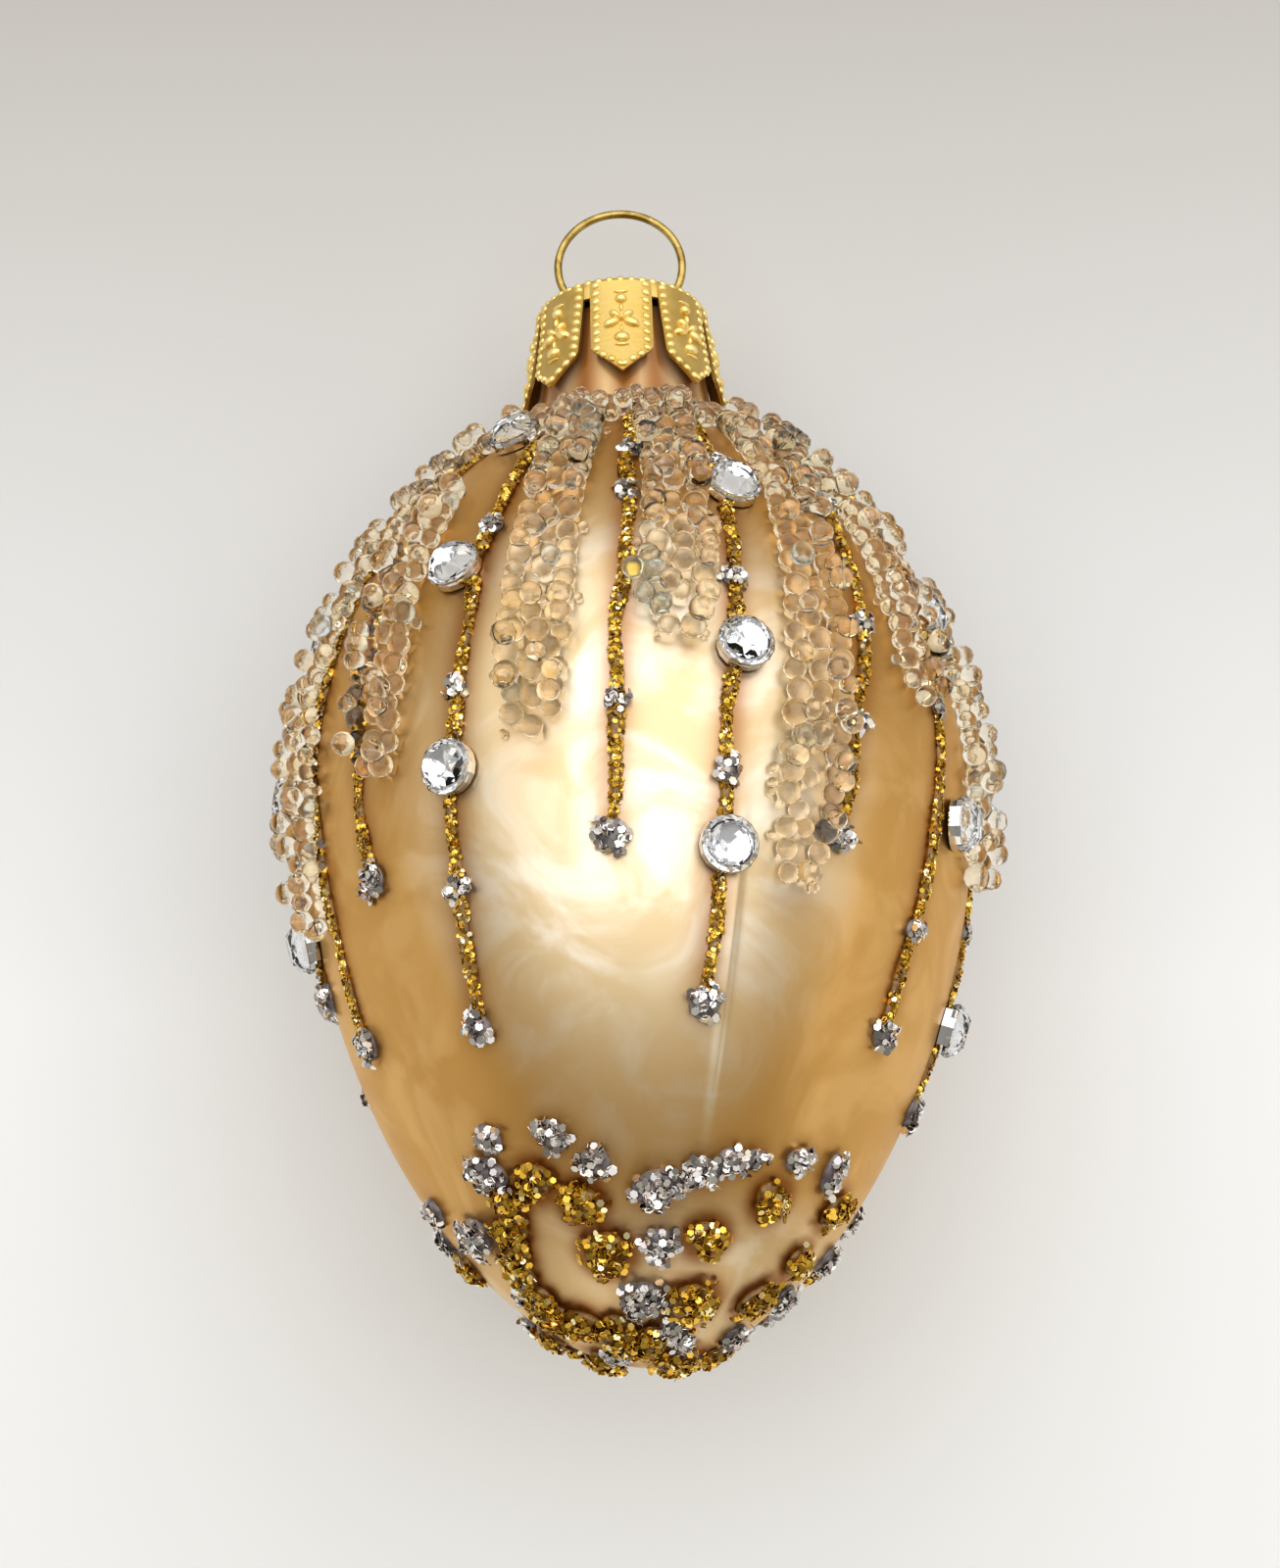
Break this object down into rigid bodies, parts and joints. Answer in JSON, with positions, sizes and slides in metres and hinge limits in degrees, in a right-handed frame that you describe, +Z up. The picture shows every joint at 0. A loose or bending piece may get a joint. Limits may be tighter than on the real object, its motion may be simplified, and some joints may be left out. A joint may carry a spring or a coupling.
{
  "type": "blown glass egg ornament",
  "caption": "Egg-shaped blown glass tree ornament with a leafed crown cap, wire ring, hanging strands of glass beads and crystal stones, lying on its side.",
  "frame": {"origin": "middle of the ornament's underside as it lies, on the surface it lies on", "axes": "+Y towards the neck and ring, which dip as it lies; +Z up; +X to the right, seen from above with the ring away"},
  "size_m": [0.054, 0.0898, 0.0543],
  "materials": {
    "pearl_lacquered_glass": "satin",
    "stamped_gold_cap": "satin",
    "ring_wire": "polished",
    "clear_glass_beads": "gloss",
    "crystal_stones": "polished",
    "gold_glitter": "gloss",
    "silver_glitter": "gloss"
  },
  "bodies": {
    "root": {"bead_collar": "clear_glass_beads", "bead_strand_01": "clear_glass_beads", "bead_strand_02": "clear_glass_beads", "bead_strand_03": "clear_glass_beads", "bead_strand_04": "clear_glass_beads", "bead_strand_05": "clear_glass_beads", "bead_strand_06": "clear_glass_beads", "bead_strand_07": "clear_glass_beads", "bead_strand_08": "clear_glass_beads", "bead_strand_09": "clear_glass_beads", "bead_strand_10": "clear_glass_beads", "bead_strand_11": "clear_glass_beads", "bead_strand_12": "clear_glass_beads", "bead_strand_13": "clear_glass_beads", "bead_strand_14": "clear_glass_beads", "bead_strand_15": "clear_glass_beads", "crown_cap": "stamped_gold_cap", "crystal_stone_01": "crystal_stones", "crystal_stone_02": "crystal_stones", "crystal_stone_03": "crystal_stones", "crystal_stone_04": "crystal_stones", "crystal_stone_05": "crystal_stones", "crystal_stone_06": "crystal_stones", "crystal_stone_07": "crystal_stones", "crystal_stone_08": "crystal_stones", "crystal_stone_09": "crystal_stones", "crystal_stone_10": "crystal_stones", "crystal_stone_11": "crystal_stones", "crystal_stone_12": "crystal_stones", "crystal_stone_13": "crystal_stones", "crystal_stone_14": "crystal_stones", "crystal_stone_15": "crystal_stones", "crystal_stone_16": "crystal_stones", "crystal_stone_17": "crystal_stones", "crystal_stone_18": "crystal_stones", "crystal_stone_19": "crystal_stones", "crystal_stone_20": "crystal_stones", "crystal_stone_21": "crystal_stones", "crystal_stone_22": "crystal_stones", "crystal_stone_23": "crystal_stones", "glass_egg": "pearl_lacquered_glass", "hanger_loop": "ring_wire"}
  },
  "joints": []
}
